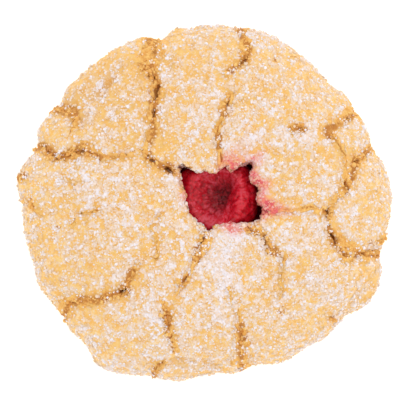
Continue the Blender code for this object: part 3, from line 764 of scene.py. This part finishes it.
bent = fanned(4.2, 0.75) + 0.3 * layered(berry, 1.5, 74, 2)[..., None]
cells = np.clip(0.15 + 0.85 * lumpy(bent, CELL_SIZE, 75), 0.0, 1.0)
across = HOLLOW_TURN[0] * off[..., 0] - HOLLOW_TURN[1] * off[..., 1] + 0.25 * rough(berry, 1.2, 76)
along = HOLLOW_TURN[1] * off[..., 0] + HOLLOW_TURN[0] * off[..., 1]
fuzz = 0.8 * rough(berry * [1.0, 0.6, 0.3], 0.45, 71) + 0.5 * rough(berry, 0.25, 77)
outward_grain = 0.9 * rough(fanned(5.0, 0.45), 0.32, 72)
streaks = mix(fuzz, outward_grain, smoothstep(1.5, 5.0, out)) + 0.7 * layered(berry, 0.9, 73, 2)
fold = np.exp(-1.3 * np.sum(((berry[..., :2] - FOLD_AT) / FOLD_REACH) ** 2, axis=2))
fold = fold * (berry[..., 2] > BERRY_MIDDLE) * smoothstep(-0.2, 1.3, across)
ripple = np.sin(2.0 * np.pi * (out + 0.35 * rough(berry, 1.5, 78)) / RIPPLE_PITCH)
ripple = ripple * smoothstep(0.1, 0.5, fold)
plump = np.sqrt(np.clip(mix(plump, mix(0.6, cells, smoothstep(0.8, 3.2, out)), inner), 0.0, 1.0))
inner_height = CELL_HEIGHT * (1.0 - 0.5 * fold)
rise = mix(DRUPELET_HEIGHT, inner_height, inner) * plump ** 1.2 + FOLD_RISE * fold
berry = berry + berry_normals * (rise + STREAK_HEIGHT * streaks + RIPPLE_HEIGHT * ripple)[..., None]
# Painted shade: a soft dark patch round the hollow's middle, stopping at the fold, where the funnel lies in
# shade.
past_fold = smoothstep(1.3, 0.2, across)
shade_share = np.hypot(np.minimum(across + 0.6, 0.0) / 4.5, (along + 0.2) / 4.9) + 0.12 * streaks
dusk = 0.7 * (1.0 - smoothstep(0.25, 1.15, shade_share)) + 0.3 * (1.0 - smoothstep(0.7, 1.9, shade_share))
depth_inside = inner * past_fold * dusk
# Painted light: less pink bloom in a spot on the upper left stands for a glossy reflection, and the ripple
# gives painted highlights on the fold's ridges and painted shade between them.
fresh = bell(berry[..., 0] + 5.0, 2.0) * bell(berry[..., 1] - 4.0, 2.6)
streaks = streaks + 0.5 * ripple - 0.8 * fresh + 0.35 * rough(berry, 1.8, 79)
print(f"wrinkled berry, top at {berry[..., 2].max():.1f} mm")

# %% The berry piece
berry_points, berry_faces = closed_grid(
    berry + [*BERRY_AT, 0.0],
    [BERRY_AT[0] + HOLLOW_AT[0], BERRY_AT[1] + HOLLOW_AT[1], HOLLOW_FLOOR],
    [*BERRY_AT, BERRY_FOOT - 0.5 * DRUPELET_HEIGHT],
)
berry_piece = new_piece("raspberry_flesh", berry_points, berry_faces,
                        inside=with_ends(depth_inside, 1.0, 0.0), plump=with_ends(plump, 0.0, 1.0),
                        bloom=with_ends(streaks), fold=with_ends(fold))
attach(berry_piece, "root")
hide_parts("raspberry")
print("raspberry_flesh:", count_triangles(berry_piece), "triangles")


# %% [markdown]
# ## Granulated sugar
# The cookie was rolled in granulated sugar. Each grain is a small clear block with sharp edges, so a
# grain is a box of twelve triangles, turned at random and sunk more or less in the crust. Thousands
# are joined into one mesh for each size, placed by drawing cells of the crust's grid, so that a
# cell's chance is its area times the sugar cover worked out above.

# %% Scattering helpers
def random_turns(count, draw):
    """Rotation matrices spread evenly over all turns, from random unit quaternions."""
    q = draw.normal(size=(count, 4))
    w, x, y, z = (q / np.linalg.norm(q, axis=1, keepdims=True)).T
    return np.stack([
        np.stack([1 - 2 * (y * y + z * z), 2 * (x * y - z * w), 2 * (x * z + y * w)], axis=1),
        np.stack([2 * (x * y + z * w), 1 - 2 * (x * x + z * z), 2 * (y * z - x * w)], axis=1),
        np.stack([2 * (x * z - y * w), 2 * (y * z + x * w), 1 - 2 * (x * x + y * y)], axis=1),
    ], axis=1)


def spots_on_crust(count, chance, draw):
    """Points, normals and cells on the crust: a cell is drawn by its area times its chance, and the
    point lies at a random share of its two sides."""
    down = crust[1:] - crust[:-1]
    along = np.roll(crust, -1, axis=1)[:-1] - crust[:-1]
    area = np.linalg.norm(np.cross(down, along), axis=2)
    weight = (area * chance[:-1]).ravel()
    cell = draw.choice(len(weight), count, p=weight / weight.sum())
    r, c = np.divmod(cell, COLUMNS)
    a, b = draw.uniform(0, 1, (2, count, 1))
    place = crust[r, c] + a * down[r, c] + b * along[r, c]
    return place, normals[r, c], r, c


BLOCK_CORNERS = np.array([[x, y, z] for z in (-0.5, 0.5) for y in (-0.5, 0.5) for x in (-0.5, 0.5)])
BLOCK_FACES = np.array([[0, 2, 3, 1], [4, 5, 7, 6], [0, 1, 5, 4], [2, 6, 7, 3], [0, 4, 6, 2], [1, 3, 7, 5]])
BLOCK_FACINGS = np.array([[0, 0, -1], [0, 0, 1], [0, -1, 0], [0, 1, 0], [-1, 0, 0], [1, 0, 0]])


def blocks(place, size, turns, corners=BLOCK_CORNERS, faces=BLOCK_FACES):
    """Copies of one small block: its corners stretched by size, turned and moved to each place."""
    points = np.einsum("nij,nkj->nki", turns, corners[None, :, :] * size[:, None, :]) + place[:, None, :]
    numbers = faces[None, :, :] + len(corners) * np.arange(len(place))[:, None, None]
    return points.reshape(-1, 3), numbers.reshape(-1, faces.shape[1]).tolist()


# %% Three sizes of sugar: how many, smallest and largest side in mm, seed
SUGAR = {
    "sugar_coarse": (4000, 0.36, 0.50, 81),
    "sugar_medium": (14500, 0.24, 0.36, 82),
    "sugar_fine": (15000, 0.17, 0.27, 83),
}
sugar_pieces = []
for name, (count, smallest, largest, seed) in SUGAR.items():
    draw = np.random.default_rng(seed)
    place, normal, r, c = spots_on_crust(count, cover, draw)
    size = draw.uniform(smallest, largest, (count, 1)) * draw.uniform(0.75, 1.2, (count, 3))
    place = place + normal * (size.mean(axis=1, keepdims=True) * draw.uniform(-0.05, 0.4, (count, 1)))
    turns = random_turns(count, draw)
    points, faces = blocks(place, size, turns)
    per = len(BLOCK_CORNERS)
    # Painted light: a grain's lower corners are dulled towards the golden dough colour, as painted shade
    # warmed by light coming up through the grain from the dough.
    up_in_grain = np.einsum("nki,ni->nk", points.reshape(count, per, 3) - place[:, None, :], normal)
    lit = smoothstep(-0.55, 0.35, up_in_grain / size.mean(axis=1, keepdims=True))
    clump = rough(place, 1.0, 66) * smoothstep(0.7, 1.3, frost[r, c])
    clear = 0.13 + draw.uniform(0, 1, count) ** 3 * 0.75 + 0.42 * (frost[r, c] - 0.3) + 0.35 * clump
    dye = juice[r, c] * draw.uniform(0.25, 1.1, count)
    piece = new_piece(name, points, faces, juice=np.repeat(dye, per),
                      clear=clear[:, None] * mix(0.35, 1.0, lit))
    lean_normals(piece, np.einsum("nij,kj->nki", turns, BLOCK_FACINGS), normal, 0.6)
    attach(piece, "root")
    sugar_pieces.append(piece)
    print(name, count, "grains,", count_triangles(piece), "triangles")

# %% [markdown]
# ## Loose crumbs
# Where the crust tore wide, broken crumb lies in the crack as small irregular lumps. A lump is a
# block of twelve corners and twenty faces, with its corners pushed in and out, bare of sugar and
# more golden than the crust.

# %% Crumbs in the cracks
CRUMBS = 6000
CRUMB_DENT = 0.14
# The golden ratio, which gives the twelve corners their even spacing
G = 0.5 * (1.0 + np.sqrt(5.0))
CRUMB_CORNERS = np.array([
    [-1, G, 0], [1, G, 0], [-1, -G, 0], [1, -G, 0], [0, -1, G], [0, 1, G],
    [0, -1, -G], [0, 1, -G], [G, 0, -1], [G, 0, 1], [-G, 0, -1], [-G, 0, 1],
]) * 0.5 / np.hypot(1.0, G)
CRUMB_FACES = np.array([
    [0, 11, 5], [0, 5, 1], [0, 1, 7], [0, 7, 10], [0, 10, 11], [1, 5, 9], [5, 11, 4], [11, 10, 2],
    [10, 7, 6], [7, 1, 8], [3, 9, 4], [3, 4, 2], [3, 2, 6], [3, 6, 8], [3, 8, 9], [4, 9, 5],
    [2, 4, 11], [6, 2, 10], [8, 6, 7], [9, 8, 1],
])
draw = np.random.default_rng(91)
crumb_chance = (bare * smoothstep(0.3, 1.2, tear_depth) + 0.002) * shown * smoothstep(0.1, 0.5, upward)
place, normal, r, c = spots_on_crust(CRUMBS, crumb_chance, draw)
size = (0.25 + 0.8 * draw.uniform(0.0, 1.0, (CRUMBS, 1)) ** 3.0) * mix(0.5, 1.0, bare[r, c])[:, None]
place = place - normal * size * 0.3
size = size * draw.uniform(0.7, 1.3, (CRUMBS, 3))
crumb_points, crumb_faces = blocks(place, size, random_turns(CRUMBS, draw), CRUMB_CORNERS, CRUMB_FACES)
per = len(CRUMB_CORNERS)
crumb_points += draw.uniform(-CRUMB_DENT, CRUMB_DENT, crumb_points.shape) * np.repeat(size, per, axis=0)
crumb_piece = new_piece("torn_crumbs", crumb_points, crumb_faces, juice=np.repeat(juice[r, c], per),
                        clear=np.repeat(draw.uniform(0, 1, CRUMBS), per))
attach(crumb_piece, "root")
print("torn_crumbs:", count_triangles(crumb_piece), "triangles")


# %% [markdown]
# ## Finishes
# Small helpers keep the node trees readable: one adds a node and sets or links its inputs, and the
# others spread a value, do arithmetic and mix two colours by a mask.

# %% Node helpers
class Nodes:
    """Short ways to add and link nodes in one tree."""

    def __init__(self, tree):
        self.tree = tree

    def node(self, kind, inputs=None, **settings):
        """Adds a node, sets its properties, and sets or links each input, by name or number."""
        made = self.tree.nodes.new(kind)
        for key, value in settings.items():
            setattr(made, key, value)
        for key, value in (inputs or {}).items():
            if isinstance(value, bpy.types.NodeSocket):
                self.tree.links.new(value, made.inputs[key])
            else:
                made.inputs[key].default_value = value
        return made

    def step(self, value, low, high, out_low=0.0, out_high=1.0):
        """value from low to high spread to out_low to out_high, and held beyond."""
        inputs = {"Value": value, "From Min": low, "From Max": high, "To Min": out_low, "To Max": out_high}
        return self.node("ShaderNodeMapRange", inputs, clamp=True).outputs["Result"]

    def maths(self, operation, a, b):
        """One arithmetic step on two numbers or sockets."""
        return self.node("ShaderNodeMath", {0: a, 1: b}, operation=operation).outputs["Value"]

    def blend(self, a, b, mask):
        """Colour a where mask is 0 and colour b where it is 1."""
        a, b = (colour if isinstance(colour, bpy.types.NodeSocket) else (*colour, 1.0) for colour in (a, b))
        return self.node("ShaderNodeMix", {0: mask, 6: a, 7: b}, data_type="RGBA").outputs[2]


class Finish(Nodes):
    """A material under construction: its tree, its Principled shader and what it reads."""

    def __init__(self, name, roughness, **values):
        self.material = bpy.data.materials.new(name)
        self.material.use_nodes = True
        super().__init__(self.material.node_tree)
        self.shader = self.tree.nodes["Principled BSDF"]
        self.shader.inputs["Roughness"].default_value = roughness
        for key, value in values.items():
            self.shader.inputs[key.replace("_", " ")].default_value = value
        self.place = self.node("ShaderNodeTexCoord").outputs["Object"]

    def attribute(self, name):
        """The number stored on the mesh's points under this name."""
        return self.node("ShaderNodeAttribute", attribute_name=name).outputs["Fac"]

    def noise(self, size_mm, detail=2.0, roughness=0.5):
        """Noise with features about size_mm across, 0 to 1."""
        inputs = {"Scale": 1.0 / (size_mm * MM), "Detail": detail, "Roughness": roughness}
        return self.node("ShaderNodeTexNoise", {"Vector": self.place, **inputs}).outputs["Fac"]

    def colour(self, socket):
        """Feeds the shader's base colour."""
        self.tree.links.new(socket, self.shader.inputs["Base Color"])

    def bump(self, height, depth_mm):
        """Feeds the shader's normal with relief depth_mm deep."""
        made = self.node("ShaderNodeBump", {"Height": height, "Distance": depth_mm * MM, "Strength": 1.0})
        self.tree.links.new(made.outputs["Normal"], self.shader.inputs["Normal"])


def linear(red, green, blue):
    """A colour picked on screen, 0 to 255 a channel, as linear light."""
    c = np.array([red, green, blue]) / 255.0
    return tuple(float(v) for v in np.where(c <= 0.04045, c / 12.92, ((c + 0.055) / 1.055) ** 2.4))


# %% [markdown]
# ## Juice
# The berry's juice soaked into crust, sugar and crumbs alike: salmon pink where it is thin and
# crimson where it is thick. One node group dyes any colour, so the three finishes agree.

# %% The juice group
JUICE_PINK = linear(243, 132, 122)
JUICE_CRIMSON = linear(222, 78, 100)


def juice_group():
    """A group that takes a colour and an amount of juice and gives the dyed colour."""
    group = bpy.data.node_groups.new("juice_dye", "ShaderNodeTree")
    group.interface.new_socket("Colour", in_out="INPUT", socket_type="NodeSocketColor")
    group.interface.new_socket("Juice", in_out="INPUT", socket_type="NodeSocketFloat")
    group.interface.new_socket("Dyed", in_out="OUTPUT", socket_type="NodeSocketColor")
    nodes = Nodes(group)
    enter = nodes.node("NodeGroupInput")
    leave = nodes.node("NodeGroupOutput")
    pink = nodes.blend(enter.outputs["Colour"], JUICE_PINK, nodes.step(enter.outputs["Juice"], 0.0, 1.0))
    crimson = nodes.blend(pink, JUICE_CRIMSON, nodes.step(enter.outputs["Juice"], 0.7, 1.5, 0.0, 0.8))
    group.links.new(crimson, leave.inputs["Dyed"])
    return group


JUICE = juice_group()


def dyed(finish, colour):
    """The colour after the juice stored on the mesh has dyed it, more in some specks than in others."""
    patchy = finish.step(finish.noise(0.5, 2.0), 0.38, 0.62, 0.65, 1.1)
    amount = finish.maths("MULTIPLY", finish.attribute("juice"), patchy)
    made = finish.node("ShaderNodeGroup", node_tree=JUICE)
    finish.tree.links.new(colour, made.inputs["Colour"])
    finish.tree.links.new(amount, made.inputs["Juice"])
    return made.outputs["Dyed"]


# %% [markdown]
# ## Crust finish
# Under the sugar the crust is golden, paler where fine sugar melted into it. Torn crumb is a deeper
# yellow, and painted shade browns the bottom of a crack and the creases between the crumb's lumps. A
# crack too thin for the grid is a brown line drawn here: the crumb's colour darkened by painted shade
# in the narrow gap. Juice dyes the crust pink, and the side near the tray is a little browner. The
# valley on the upper left is browned too, as painted shade. Sugar too fine for grains of its own is a
# speckle with its own slight relief.

# %% Crust colours
GOLD = linear(242, 185, 96)
PALE_GOLD = linear(244, 201, 122)
FINE_SUGAR = linear(247, 224, 191)
TORN_CRUMB = linear(228, 162, 76)
PALE_CRUMB = linear(250, 204, 122)
# Brown of painted shade, at the bottoms of deep cracks and in the creases of torn crumb
DEEP_CRUMB = linear(194, 100, 18)
# Browns of the side near the tray, also used as painted shade in the upper-left valley
TRAY_BROWN = linear(196, 134, 66)
TRAY_PALE = linear(226, 176, 106)
# Crumb colour darkened by painted shade, for cracks too thin for the grid
SLIT_BROWN = linear(188, 118, 50)
WINE = linear(204, 66, 80)


def crust_finish():
    """Golden crumb, speckled with fine sugar, torn yellow in the cracks and pink by the berry."""
    f = Finish("sugared_crust", 0.62, Specular_IOR_Level=0.25)
    tone = f.step(f.noise(1.6, 3.0), 0.35, 0.65)
    base = f.blend(GOLD, PALE_GOLD, tone)
    frost_here = f.step(f.attribute("frost"), 0.0, 1.2, -0.10, 0.12)
    speckle = f.maths("ADD", f.noise(0.5, 3.0, 0.7), frost_here)
    calm_here = f.attribute("calm")
    crisp = f.maths("MULTIPLY", f.step(speckle, 0.45, 0.60), f.step(calm_here, 0.0, 1.0, 1.0, 0.4))
    soft = f.maths("MULTIPLY", f.step(speckle, 0.36, 0.72), f.step(calm_here, 0.0, 1.0, 0.0, 0.6))
    sugar = f.maths("ADD", crisp, soft)
    bare_here = f.attribute("bare")
    base = f.blend(base, FINE_SUGAR, f.maths("MULTIPLY", sugar, f.maths("SUBTRACT", 1.0, bare_here)))
    torn = f.blend(TORN_CRUMB, PALE_CRUMB, f.step(f.noise(0.55, 3.0, 0.6), 0.36, 0.62))
    base = f.blend(base, torn, f.maths("MULTIPLY", bare_here, 0.9))
    # Painted shade in the creases of torn crumb
    base = f.blend(base, DEEP_CRUMB, f.maths("MULTIPLY", f.attribute("crease"), 0.4))
    # Painted shade at the bottom of deep cracks
    base = f.blend(base, DEEP_CRUMB, f.attribute("pit"))
    # Painted shade: a crack too thin for the grid is a broken brown line, the crumb's colour darkened as a
    # narrow gap's shade
    ragged = f.maths("ADD", f.attribute("slit_off"), f.step(f.noise(0.5, 2.0), 0.3, 0.7, -0.14, 0.14))
    across = f.maths("DIVIDE", f.maths("ABSOLUTE", ragged, 0.0), f.attribute("slit_size"))
    slit = f.maths("MULTIPLY", f.step(across, 1.1, 0.6), f.attribute("slit_near"))
    broken = f.step(f.noise(1.1, 2.0), 0.36, 0.5, 0.2, 0.9)
    base = f.blend(base, SLIT_BROWN, f.maths("MULTIPLY", slit, broken))
    # Browner near the tray, past the ledges and in spots, and painted shade in the upper-left valley
    tray = f.blend(TRAY_BROWN, TRAY_PALE, f.step(f.noise(5.0, 4.0, 0.6), 0.38, 0.62))
    base = f.blend(base, tray, f.maths("MULTIPLY", f.attribute("toast"), 0.8))
    f.colour(f.blend(dyed(f, base), WINE, f.attribute("soaked")))
    f.bump(f.maths("ADD", f.noise(0.45, 2.0, 0.6), f.maths("MULTIPLY", f.noise(1.3, 2.0), 1.5)), 0.09)
    return f.material


crust_piece.data.materials.append(crust_finish())


# %% [markdown]
# ## Sugar and crumb finishes
# A sugar grain is clear, but a heap of grains on dough looks white with a golden tint, because light
# bounces between them. Tracing that through thousands of clear blocks would be slow and noisy, so
# each grain is an opaque near-white that leans to the dough's colour by its own random share. Painted
# light leans each grain's lower corners further to it: painted shade, warmed like light coming up
# through the grain from the dough.

# %% Sugar and crumb colours
GRAIN_DULL = linear(246, 202, 138)
GRAIN_BRIGHT = linear(249, 242, 247)
CRUMB_DULL = linear(232, 166, 76)
CRUMB_BRIGHT = linear(249, 206, 126)


def grain_finish(name, dull, bright, roughness, high):
    """Grains from dull to bright by the number on their corners, dyed where the juice ran. On crumbs it
    is each crumb's own number; on sugar it is the grain's own number, lowered on its lower corners as
    painted shade.
    """
    f = Finish(name, roughness)
    base = f.blend(dull, bright, f.step(f.attribute("clear"), 0.0, high))
    f.colour(dyed(f, base))
    return f.material


sugar_finish = grain_finish("sugar_grains", GRAIN_DULL, GRAIN_BRIGHT, 0.35, 0.8)
for piece in sugar_pieces:
    piece.data.materials.append(sugar_finish)
crumb_finish = grain_finish("golden_crumbs", CRUMB_DULL, CRUMB_BRIGHT, 0.7, 1.0)
crumb_piece.data.materials.append(crumb_finish)


# %% [markdown]
# ## Raspberry finish
# The skin is deep crimson, with painted shade between the drupelets, and a pinkish velvet bloom in
# specks and streaks. The bloom also carries painted highlights on the folded lobe's ridges, with
# painted shade between them, and less of it in a spot on the upper left stands for a glossy
# reflection. Painted shade makes the hollow a dark red-brown. Light enters the flesh a little, so it
# has some subsurface. The folded lobe is moister and shines more.

# %% Berry colours
# Painted shade between the drupelets
FLESH_DEEP = linear(126, 4, 20)
FLESH_RED = linear(210, 12, 38)
FLESH_STREAK = linear(128, 4, 24)
BLOOM_PINK = linear(224, 84, 106)
# Painted shade in the hollow
HOLLOW_DARK = linear(76, 10, 14)


def berry_finish():
    """Crimson, with painted shade between drupelets and in the hollow, and pink bloom in specks and
    streaks that also holds painted highlights and a painted reflection.
    """
    f = Finish("raspberry_skin", 0.4, Subsurface_Weight=0.2, Subsurface_Scale=0.0012,
               Subsurface_Radius=(1.0, 0.2, 0.15), Coat_Weight=0.15, Coat_Roughness=0.15,
               Specular_IOR_Level=0.35)
    # Painted shade: from crimson on a drupelet's middle to dark red between drupelets
    base = f.blend(FLESH_DEEP, FLESH_RED, f.step(f.attribute("plump"), 0.15, 0.75))
    fold_here = f.attribute("fold")
    # The bloom mask also carries the painted highlights on the fold's ridges and the painted reflection spot
    streak = f.maths("ADD", f.maths("MULTIPLY", f.attribute("bloom"), 0.3), f.noise(0.5, 2.0, 0.6))
    bloom = f.maths("MULTIPLY", f.step(streak, 0.48, 0.76), f.step(fold_here, 0.0, 0.5, 0.75, 0.35))
    base = f.blend(base, BLOOM_PINK, bloom)
    base = f.blend(base, FLESH_STREAK, f.step(streak, 0.42, 0.26, 0.0, 0.5))
    patchy = f.step(f.noise(0.55, 2.0, 0.6), 0.36, 0.64, 0.62, 1.0)
    # Painted shade darkens the hollow, broken up by noise
    f.colour(f.blend(base, HOLLOW_DARK, f.maths("MULTIPLY", f.attribute("inside"), patchy)))
    f.tree.links.new(f.step(fold_here, 0.1, 0.7, 0.42, 0.2), f.shader.inputs["Roughness"])
    f.bump(f.noise(0.4, 2.0, 0.6), 0.12)
    return f.material


berry_piece.data.materials.append(berry_finish())

# %% [markdown]
# ## Floor, light and camera
# The cookie was photographed from nearly straight above on bright white, with almost no shadow. A
# white floor under a bright even sky washes out to white, and one large soft lamp gives the cracks a
# little shape. The floor lies a hair above the base, so that the two don't fall in one plane and the
# base shows from below.

# %% The floor, m
FLOOR_HALF = 1.2
FLOOR_AT = 0.00005
FLOOR_GLOW = 0.45
floor_mesh = bpy.data.meshes.new("floor")
floor_mesh.from_pydata(
    [(-FLOOR_HALF, -FLOOR_HALF, FLOOR_AT), (FLOOR_HALF, -FLOOR_HALF, FLOOR_AT),
     (FLOOR_HALF, FLOOR_HALF, FLOOR_AT), (-FLOOR_HALF, FLOOR_HALF, FLOOR_AT)], [], [(0, 1, 2, 3)])
floor = bpy.data.objects.new("floor", floor_mesh)
bpy.context.scene.collection.objects.link(floor)
floor_finish = Finish("white_sweep", 0.9)
floor_finish.colour(floor_finish.blend((0.94, 0.94, 0.94), (0.96, 0.96, 0.96), floor_finish.noise(40.0)))
floor_finish.shader.inputs["Emission Color"].default_value = (1.0, 1.0, 1.0, 1.0)
floor_finish.shader.inputs["Emission Strength"].default_value = FLOOR_GLOW
floor_mesh.materials.append(floor_finish.material)
floor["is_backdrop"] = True

# %% Sky and lamp
scene = bpy.context.scene
world = bpy.data.worlds.new("bright_room")
scene.world = world
world.use_nodes = True
sky = world.node_tree.nodes["Background"]
sky.inputs["Color"].default_value = (1.0, 0.99, 0.98, 1.0)
sky.inputs["Strength"].default_value = 1.0


def soft_lamp(name, place, size, power):
    """A square area lamp at place, in metres, that faces the cookie."""
    data = bpy.data.lights.new(name, "AREA")
    data.size = size
    data.energy = power
    lamp = bpy.data.objects.new(name, data)
    lamp.location = place
    lamp.rotation_euler = Vector(place).to_track_quat("Z", "Y").to_euler()
    scene.collection.objects.link(lamp)
    return lamp


soft_lamp("window", (0.24, 0.28, 0.76), 0.6, 0.8)
scene.view_settings.view_transform = "Standard"

# %% The camera: elevation in degrees, lengths in m
ELEVATION = 88.5
DISTANCE = 0.80
FRAME_WIDTH = 0.0887
SENSOR_MM = 36.0
AIM = Vector((0.00085, -0.00128, 0.008))
camera_data = bpy.data.cameras.new("camera")
camera_data.sensor_width = SENSOR_MM
camera_data.lens = SENSOR_MM * DISTANCE / FRAME_WIDTH
camera = bpy.data.objects.new("camera", camera_data)
tilt = np.radians(ELEVATION)
camera.location = AIM + Vector((0.0, -np.cos(tilt), np.sin(tilt))) * DISTANCE
camera.rotation_euler = (AIM - camera.location).to_track_quat("-Z", "Y").to_euler()
scene.collection.objects.link(camera)
scene.camera = camera

# %% Sizes
low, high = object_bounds()
print("visual box", [round(v / MM, 1) for v in low], [round(v / MM, 1) for v in high])
